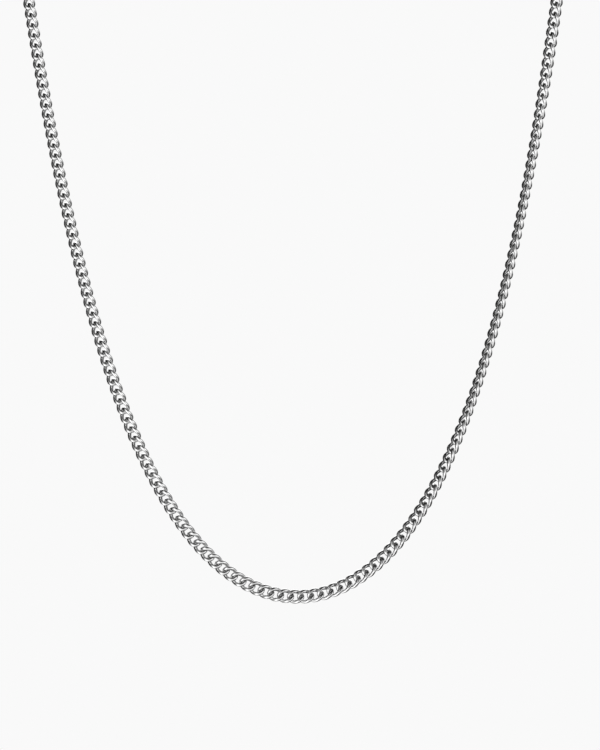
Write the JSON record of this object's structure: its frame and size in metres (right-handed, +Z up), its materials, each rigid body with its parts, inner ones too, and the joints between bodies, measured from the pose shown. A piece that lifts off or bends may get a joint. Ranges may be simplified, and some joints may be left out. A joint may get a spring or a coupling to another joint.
{
  "type": "cuban link neck chain",
  "caption": "Polished silver neck chain of close-set twisted curb links, hanging as worn: a whole loop that a plain clasp closes at the nape.",
  "frame": {"origin": "middle of the nape, where the closed loop rests on the back of the neck", "axes": "+X towards the wearer's left, +Y from the chest to the nape, +Z up"},
  "size_m": [0.1194, 0.0535, 0.1531],
  "materials": {
    "chain_left": "polished silver",
    "chain_right": "polished silver",
    "clasp": "polished silver"
  },
  "bodies": {
    "root": {"chain_left": "chain_left", "chain_right": "chain_right", "clasp": "clasp"}
  },
  "joints": []
}
